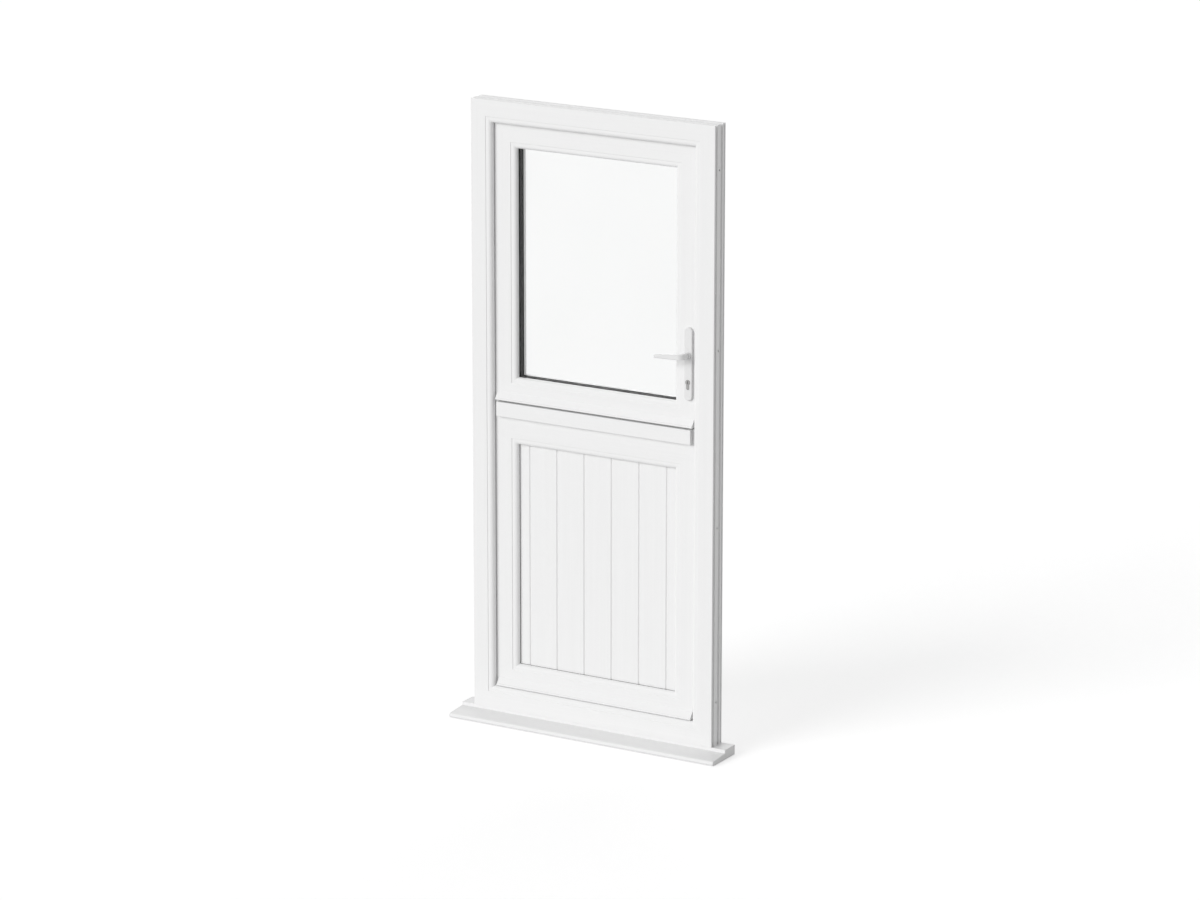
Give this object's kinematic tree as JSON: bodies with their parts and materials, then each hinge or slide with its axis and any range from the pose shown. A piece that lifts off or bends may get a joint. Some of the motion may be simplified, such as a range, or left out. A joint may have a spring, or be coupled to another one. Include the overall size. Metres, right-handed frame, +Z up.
{
  "type": "stable door with frame",
  "caption": "White plastic stable door in its frame on a sill: glazed upper leaf and planked lower leaf that swing inward by themselves, with lever lock, hinges and bolts.",
  "frame": {"origin": "on the sill's underside, below the middle of the frame's outer face", "axes": "+X to the right seen from outside, +Y into the building, +Z up"},
  "size_m": [1.02, 0.232, 2.123],
  "materials": {
    "white_profile": "smooth white, soft gloss",
    "panel": "smooth white, soft gloss",
    "black_rubber": "matt black",
    "black_spacer": "matt black",
    "grey_seal": "matt grey",
    "clear_glass": "clear",
    "packer": "matt grey",
    "white_metal": "white powder coat",
    "handle_metal": "white powder coat",
    "steel": "zinc plated",
    "nickel": "satin nickel"
  },
  "bodies": {
    "frame": {"frame_head": "white_profile", "frame_threshold": "white_profile", "frame_hinge_jamb": "white_profile", "frame_lock_jamb": "white_profile", "sill": "white_profile", "sill_end_caps": "white_profile", "frame_seal": "grey_seal", "lock_keep": "steel", "lower_keep": "white_metal", "hinge_frame_leaves": "white_metal", "hinge_pins": "steel", "frame_screws": "steel"},
    "upper_leaf": {"upper_top_rail": "white_profile", "upper_bottom_rail": "white_profile", "upper_hinge_stile": "white_profile", "upper_lock_stile": "white_profile", "outer_pane": "clear_glass", "inner_pane": "clear_glass", "pane_spacer": "black_spacer", "glass_gaskets": "black_rubber", "glazing_beads": "white_profile", "glazing_packers": "packer", "upper_drip_bar": "white_profile", "upper_drip_caps": "white_profile", "upper_leaf_seal": "grey_seal", "upper_hinge_leaves": "white_metal", "upper_screws": "steel", "lock_case": "steel", "lock_faceplate": "steel", "outside_backplate": "handle_metal", "inside_backplate": "handle_metal", "cylinder_body": "nickel", "handle_screws": "steel", "coupling_keeper": "white_metal"},
    "lower_leaf": {"lower_top_rail": "white_profile", "lower_bottom_rail": "white_profile", "lower_hinge_stile": "white_profile", "lower_lock_stile": "white_profile", "infill_panel": "panel", "panel_gaskets": "black_rubber", "panel_beads": "white_profile", "panel_packers": "packer", "meeting_rail": "white_profile", "lower_drip_bar": "white_profile", "lower_end_caps": "white_profile", "lower_leaf_seals": "grey_seal", "lower_hinge_leaves": "white_metal", "lower_screws": "steel", "coupling_guide": "white_metal", "lower_bolt_guide": "white_metal"},
    "lever": {"outside_lever": "handle_metal", "inside_lever": "handle_metal", "spindle": "steel"},
    "latch": {"latch_bolt": "steel"},
    "dead_bolt": {"dead_bolt": "steel"},
    "outside_plug": {"outside_key_plug": "nickel"},
    "inside_plug": {"inside_key_plug": "nickel"},
    "coupling_bolt": {"coupling_bolt": "steel"},
    "lower_bolt": {"lower_bolt": "steel"}
  },
  "joints": [
    {"name": "upper_swing", "type": "hinge", "parent": "frame", "child": "upper_leaf", "pos_m": [-0.419, 0.104, 1.58], "axis": [0, 0, 1], "range_deg": [0, 110]},
    {"name": "lower_swing", "type": "hinge", "parent": "frame", "child": "lower_leaf", "pos_m": [-0.419, 0.104, 0.58], "axis": [0, 0, 1], "range_deg": [0, 110]},
    {"name": "lever_turn", "type": "hinge", "parent": "upper_leaf", "child": "lever", "pos_m": [0.356, 0.059, 1.353], "axis": [0, 1, 0], "range_deg": [-35, 45], "stiffness_Nm_per_rad": 1.5, "springref_deg": 3.44},
    {"name": "latch_slide", "type": "slide", "parent": "upper_leaf", "child": "latch", "axis": [1, 0, 0], "range_m": [-0.0095, 0.012]},
    {"name": "dead_bolt_slide", "type": "slide", "parent": "upper_leaf", "child": "dead_bolt", "axis": [1, 0, 0], "range_m": [-0.0157, 0.02]},
    {"name": "outside_key_turn", "type": "hinge", "parent": "upper_leaf", "child": "outside_plug", "pos_m": [0.356, 0.03, 1.261], "axis": [0, 1, 0], "continuous": true},
    {"name": "inside_key_turn", "type": "hinge", "parent": "upper_leaf", "child": "inside_plug", "pos_m": [0.356, 0.088, 1.261], "axis": [0, 1, 0], "continuous": true},
    {"name": "coupling_slide", "type": "slide", "parent": "lower_leaf", "child": "coupling_bolt", "axis": [0, 0, 1], "range_m": [0, 0.034]},
    {"name": "lower_bolt_slide", "type": "slide", "parent": "lower_leaf", "child": "lower_bolt", "axis": [1, 0, 0], "range_m": [0, 0.024]}
  ],
  "couplings": [
    {"joint": "latch_slide", "follows": "lever_turn", "m_per_rad": 0.01527},
    {"joint": "dead_bolt_slide", "follows": "lever_turn", "m_per_rad": 0.02546}
  ]
}
